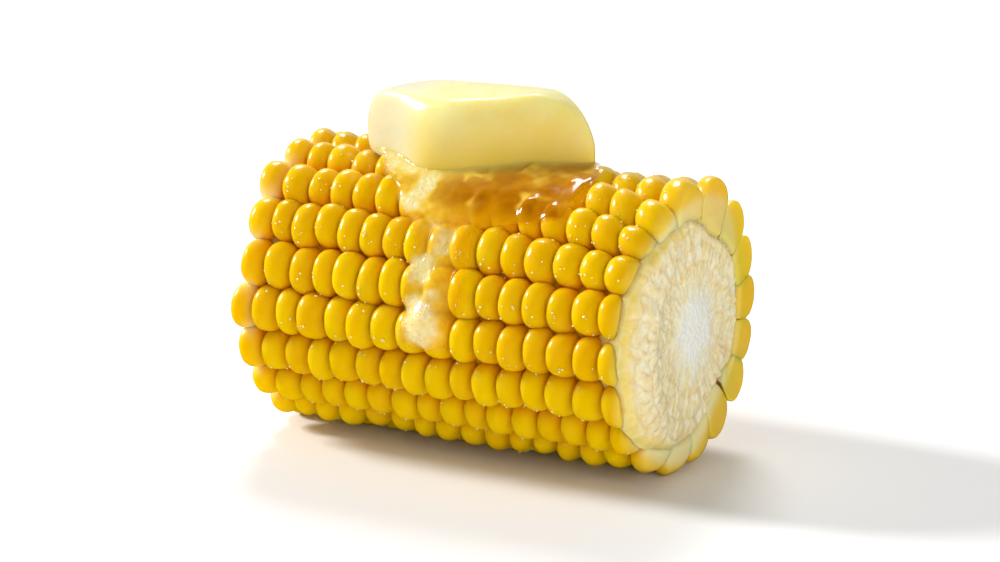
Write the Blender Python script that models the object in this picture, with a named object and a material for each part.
"""A cooked corn cob section lying on its side, with a pat of butter melting on it.

The cob runs along X and rests on two kernel rows. Lengths are in metres and angles in degrees, +Z is up.
The origin is the middle of the footprint, at the height of the surface that the cob lies on.
"""

from math import asin, cos, degrees, pi, radians, sin, sqrt, tan

import bmesh
import bpy
from mathutils import Matrix, Vector

# The cut section of ear
CUT_LENGTH = 0.074
CROWN_RADIUS = 0.025
COB_RADIUS = 0.0150  # the woody cob under the kernels, measured to its flats
ROW_COUNT = 18

# The kernels
KERNEL_PITCH = 0.0046  # along a row
KERNEL_GROOVE_DEPTH = 0.0024  # between two kernels of one row
ROW_GROOVE_DEPTH = 0.0036  # between two rows
ROW_STAGGER = 0.0016  # how far every second row is shifted along the ear
SHOULDER = 0.5  # where a crown's shoulder lies, as a share of the way from its middle to its groove
SHORTEST_STEP = 0.0003  # a station nearer than this to a cut face is left out

# The pat of butter: its outline seen from above, around its own middle, and how it lies
PAT_LENGTH = 0.0400
PAT_WIDTH = 0.0165
PAT_OUTLINE = (  # shares of half the length and half the width
    (-1.00, -0.20),
    (-0.60, -1.00),
    (-0.10, -0.90),
    (0.60, -0.25),
    (1.00, 0.40),
    (0.45, 1.00),
    (-0.60, 0.80),
)
PAT_PLACE_X = -0.0042
PAT_PLACE_Y = 0.0005
PAT_HEIGHT = 0.0112  # from the crowns to the middle of the top
PAT_EDGE_RADIUS = 0.0034
PAT_TILT_ACROSS = -5.0  # the top leans down towards the back
PAT_TILT_ALONG = 2.5  # and towards the cut end at +X

# The melted butter: a pool around the pat and a run down the front
MELT_THICKNESS = 0.0009
POOL_LEFT = -0.0235
POOL_RIGHT = 0.0200
POOL_BACK_ANGLE = 106.0  # angles go up from the front of the ear
POOL_FRONT_ANGLES = (44.0, 58.0)  # the pool narrows to the run between these
POOL_SLOPE_ANGLES = (34.0, 92.0)  # its left edge is slanted between these
RUN_LEFT = -0.0066
RUN_RIGHT = 0.0014
RUN_TIP_ANGLE = -3.5
MELT_COLUMNS = 12
MELT_STEP_ANGLE = 5.0

CLEARANCE = 0.0003  # between any two pieces

ROW_ANGLE = 360.0 / ROW_COUNT
FRONT_ANGLE = 90.0  # from straight up to the front, about X

KERNEL_COLOUR = (0.90, 0.55, 0.01, 1.0)
COB_COLOUR = (0.87, 0.80, 0.62, 1.0)
BUTTER_COLOUR = (0.88, 0.76, 0.40, 1.0)
MELT_COLOUR = (0.80, 0.52, 0.14, 1.0)


def clear_scene():
    for old in list(bpy.data.objects):
        bpy.data.objects.remove(old, do_unlink=True)


def new_collection(name):
    collection = bpy.data.collections.new(name)
    bpy.context.scene.collection.children.link(collection)
    return collection


def material(name, colour, roughness):
    made = bpy.data.materials.new(name)
    made.use_nodes = True
    shader = made.node_tree.nodes["Principled BSDF"]
    shader.inputs["Base Color"].default_value = colour
    shader.inputs["Roughness"].default_value = roughness
    shader.inputs["Metallic"].default_value = 0.0
    return made


def polar(x, angle, radius):
    """The point at a distance from the ear's axis, with the angle measured from straight up to the front, -Y."""
    return Vector((x, -radius * sin(radians(angle)), radius * cos(radians(angle))))


def smoothstep(low, high, value):
    share = min(1.0, max(0.0, (value - low) / (high - low)))
    return share * share * (3.0 - 2.0 * share)


def add_object(name, mesh, parent, collection, finish):
    made = bpy.data.objects.new(name, mesh)
    if not mesh.materials:
        mesh.materials.append(finish)
    made.parent = parent
    collection.objects.link(made)
    return made


def block_mesh(name, columns, rows, outer, inner):
    """A closed block: a grid placed by outer(i, j), and its extruded copy placed by inner(i, j)."""
    bm = bmesh.new()
    bmesh.ops.create_grid(bm, x_segments=columns, y_segments=rows, size=1.0)
    steps = {v: (round((v.co.x + 1) / 2 * columns), round((v.co.y + 1) / 2 * rows)) for v in bm.verts}
    by_place = {steps[v]: v for v in bm.verts}
    copies = bmesh.ops.extrude_face_region(bm, geom=bm.faces[:])["geom"]
    under = [v for v in copies if isinstance(v, bmesh.types.BMVert)]
    under_steps = {v: (round((v.co.x + 1) / 2 * columns), round((v.co.y + 1) / 2 * rows)) for v in under}
    for (i, j), vertex in by_place.items():
        vertex.co = outer(i, j)
    for vertex, (i, j) in under_steps.items():
        vertex.co = inner(i, j)
    bmesh.ops.recalc_face_normals(bm, faces=bm.faces[:])
    if bm.calc_volume(signed=True) < 0.0:
        bmesh.ops.reverse_faces(bm, faces=bm.faces[:])
    bmesh.ops.dissolve_limit(bm, angle_limit=radians(0.05), verts=bm.verts[:], edges=bm.edges[:])
    mesh = bpy.data.meshes.new(name)
    bm.to_mesh(mesh)
    bm.free()
    return mesh


def crown_height(across, along):
    """The crown's radius over one kernel, with across and along from -1 to 1 between its grooves."""
    over_row = sqrt(1.0 - abs(across) ** 3)
    over_kernel = sqrt(1.0 - abs(along) ** 3)
    ridge = CROWN_RADIUS - KERNEL_GROOVE_DEPTH * (1.0 - over_kernel)
    valley = CROWN_RADIUS - ROW_GROOVE_DEPTH
    return valley + (ridge - valley) * over_row


def kernel_stations(shift):
    """(x, along) pairs down one row, from one cut face to the other."""
    half = CUT_LENGTH / 2
    reach = int(half / KERNEL_PITCH) + 2
    stations = []
    for kernel in range(-reach, reach + 1):
        middle = kernel * KERNEL_PITCH + shift
        for along in (-1.0, -SHOULDER, SHOULDER):
            stations.append((middle + along * KERNEL_PITCH / 2, along))
    inside = [s for s in stations if abs(s[0]) < half - SHORTEST_STEP]
    ends = []
    for x in (-half, half):
        nearest = round((x - shift) / KERNEL_PITCH)
        ends.append((x, (x - shift - nearest * KERNEL_PITCH) / (KERNEL_PITCH / 2)))
    return [ends[0], *inside, ends[1]]


def kernel_row_mesh(name, shift):
    """One row with its crowns up: flat sides and a flat base that keep their clearances, and domed kernels."""
    across_steps = (-1.0, -SHOULDER, 0.0, SHOULDER, 1.0)
    stations = kernel_stations(shift)
    half_angle = ROW_ANGLE / 2
    base = COB_RADIUS + CLEARANCE
    base_half_width = base * tan(radians(half_angle)) - CLEARANCE / 2 / cos(radians(half_angle))

    def crown(i, j):
        x, along = stations[i]
        radius = crown_height(across_steps[j], along)
        side_angle = half_angle - degrees(asin(CLEARANCE / 2 / radius))
        return polar(x, across_steps[j] * side_angle, radius)

    def foot(i, j):
        return Vector((stations[i][0], -across_steps[j] * base_half_width, base))

    return block_mesh(name, len(stations) - 1, len(across_steps) - 1, crown, foot)


def add_kernel_rows(parent, collection):
    finish = material("kernel_skin", KERNEL_COLOUR, 0.22)
    straight = kernel_row_mesh("kernel_row", 0.0)
    shifted = kernel_row_mesh("kernel_row_shifted", ROW_STAGGER)
    for row in range(ROW_COUNT):
        mesh = shifted if row % 2 else straight
        made = add_object(f"kernel_row_{row + 1:02d}", mesh, parent, collection, finish)
        made.rotation_euler.x = radians(FRONT_ANGLE - row * ROW_ANGLE)


def add_cob(parent, collection):
    """The cob under the kernels: one flat for each row, and two cut ends flush with the rows' ends."""
    bm = bmesh.new()
    corner_radius = COB_RADIUS / cos(radians(ROW_ANGLE / 2))
    bmesh.ops.create_cone(
        bm,
        cap_ends=True,
        segments=ROW_COUNT,
        radius1=corner_radius,
        radius2=corner_radius,
        depth=CUT_LENGTH,
        matrix=Matrix.Rotation(pi / 2, 4, "Y"),
    )
    face_middle = max(bm.faces, key=lambda face: face.calc_center_median().z).calc_center_median()
    off_centre = Vector((face_middle.y, face_middle.z)).angle_signed(Vector((0.0, 1.0)))
    row_offset = radians(FRONT_ANGLE % ROW_ANGLE)
    turn = Matrix.Rotation(row_offset - off_centre, 4, "X")
    bmesh.ops.transform(bm, matrix=turn, verts=bm.verts[:])
    mesh = bpy.data.meshes.new("cob")
    bm.to_mesh(mesh)
    bm.free()
    add_object("cob", mesh, parent, collection, material("cut_cob", COB_COLOUR, 0.75))


def add_melted_butter(parent, collection):
    """A thin skin over the crowns: a wide pool around the pat that narrows to one run with a round tip."""
    steps = round((POOL_BACK_ANGLE - RUN_TIP_ANGLE) / MELT_STEP_ANGLE)
    inside = CROWN_RADIUS + CLEARANCE
    tip_angle = degrees((RUN_RIGHT - RUN_LEFT) / 2 / inside)

    def place(i, j, radius):
        angle = RUN_TIP_ANGLE + (POOL_BACK_ANGLE - RUN_TIP_ANGLE) * j / steps
        left = RUN_LEFT + (POOL_LEFT - RUN_LEFT) * smoothstep(*POOL_SLOPE_ANGLES, angle)
        right = RUN_RIGHT + (POOL_RIGHT - RUN_RIGHT) * smoothstep(*POOL_FRONT_ANGLES, angle)
        above_tip = min(1.0, (angle - RUN_TIP_ANGLE) / tip_angle)
        roundness = 0.35 + 0.65 * sqrt(1.0 - (1.0 - above_tip) ** 2)
        middle, half = (left + right) / 2, (right - left) / 2 * roundness
        return polar(middle + half * (2 * i / MELT_COLUMNS - 1), FRONT_ANGLE - angle, radius)

    mesh = block_mesh(
        "melted_butter",
        MELT_COLUMNS,
        steps,
        lambda i, j: place(i, j, inside + MELT_THICKNESS),
        lambda i, j: place(i, j, inside),
    )
    add_object("melted_butter", mesh, parent, collection, material("melted_butter", MELT_COLOUR, 0.08))


def add_pat_cutter(parent, collection):
    """What the underside of the pat is cut to: the crowns, the melted butter and its clearances."""
    bm = bmesh.new()
    radius = CROWN_RADIUS + CLEARANCE + MELT_THICKNESS + CLEARANCE
    bmesh.ops.create_cone(
        bm,
        cap_ends=True,
        segments=96,
        radius1=radius,
        radius2=radius,
        depth=CUT_LENGTH + 2 * PAT_LENGTH,
        matrix=Matrix.Rotation(pi / 2, 4, "Y"),
    )
    mesh = bpy.data.meshes.new("pat_cutter")
    bm.to_mesh(mesh)
    bm.free()
    cutter = bpy.data.objects.new("pat_cutter", mesh)
    cutter.parent = parent
    cutter.hide_render = True
    cutter.display_type = "WIRE"
    collection.objects.link(cutter)
    return cutter


def add_butter_pat(parent, collection, cutter):
    """A softened slab: one smooth closed outline with rounded edges, laid on the melted butter."""
    thickness = PAT_HEIGHT + CLEARANCE
    outline = bpy.data.curves.new("pat_outline", "CURVE")
    outline.dimensions = "2D"
    outline.fill_mode = "BOTH"
    outline.resolution_u = 5
    outline.extrude = thickness / 2 - PAT_EDGE_RADIUS
    outline.bevel_depth = PAT_EDGE_RADIUS
    outline.bevel_resolution = 2
    outline.offset = -PAT_EDGE_RADIUS
    spline = outline.splines.new("BEZIER")
    spline.bezier_points.add(len(PAT_OUTLINE) - 1)
    spline.use_cyclic_u = True
    for point, (share_x, share_y) in zip(spline.bezier_points, PAT_OUTLINE):
        point.co = (share_x * PAT_LENGTH / 2, share_y * PAT_WIDTH / 2, 0.0)
        point.handle_left_type = point.handle_right_type = "AUTO"
    drawn = bpy.data.objects.new("pat_outline", outline)
    collection.objects.link(drawn)
    bpy.context.view_layer.update()
    mesh = bpy.data.meshes.new_from_object(drawn.evaluated_get(bpy.context.evaluated_depsgraph_get()))
    bpy.data.objects.remove(drawn)
    bm = bmesh.new()
    bm.from_mesh(mesh)
    bmesh.ops.remove_doubles(bm, verts=bm.verts[:], dist=1e-6)
    bmesh.ops.recalc_face_normals(bm, faces=bm.faces[:])
    bm.to_mesh(mesh)
    bm.free()
    pat = add_object("butter_pat", mesh, parent, collection, material("butter", BUTTER_COLOUR, 0.20))
    pat.location = (PAT_PLACE_X, PAT_PLACE_Y, CROWN_RADIUS + PAT_HEIGHT - thickness / 2)
    pat.rotation_euler = (radians(PAT_TILT_ACROSS), radians(PAT_TILT_ALONG), 0.0)
    cut = pat.modifiers.new("underside", "BOOLEAN")
    cut.operation = "DIFFERENCE"
    cut.solver = "EXACT"
    cut.object = cutter


def stand_on_origin(axis, collection):
    """Moves the ear's axis so that the middle of the footprint, at the lowest point, is the origin."""
    bpy.context.view_layer.update()
    graph = bpy.context.evaluated_depsgraph_get()
    corners = []
    for made in collection.objects:
        if made.type != "MESH":
            continue
        evaluated = made.evaluated_get(graph)
        shape = evaluated.to_mesh()
        corners += [evaluated.matrix_world @ vertex.co for vertex in shape.vertices]
        evaluated.to_mesh_clear()
    lowest = [min(corner[k] for corner in corners) for k in range(3)]
    highest = [max(corner[k] for corner in corners) for k in range(3)]
    axis.location = (-(lowest[0] + highest[0]) / 2, -(lowest[1] + highest[1]) / 2, -lowest[2])
    print("size", [round(high - low, 5) for low, high in zip(lowest, highest)])
    print("ear axis at", [round(value, 5) for value in axis.location])


def main():
    clear_scene()
    bpy.context.scene.unit_settings.scale_length = 1.0
    pieces = new_collection("corn_cob")
    cutters = new_collection("cutters")
    axis = bpy.data.objects.new("ear_axis", None)
    pieces.objects.link(axis)
    add_cob(axis, pieces)
    add_kernel_rows(axis, pieces)
    add_melted_butter(axis, pieces)
    add_butter_pat(axis, pieces, add_pat_cutter(axis, cutters))
    stand_on_origin(axis, pieces)


main()
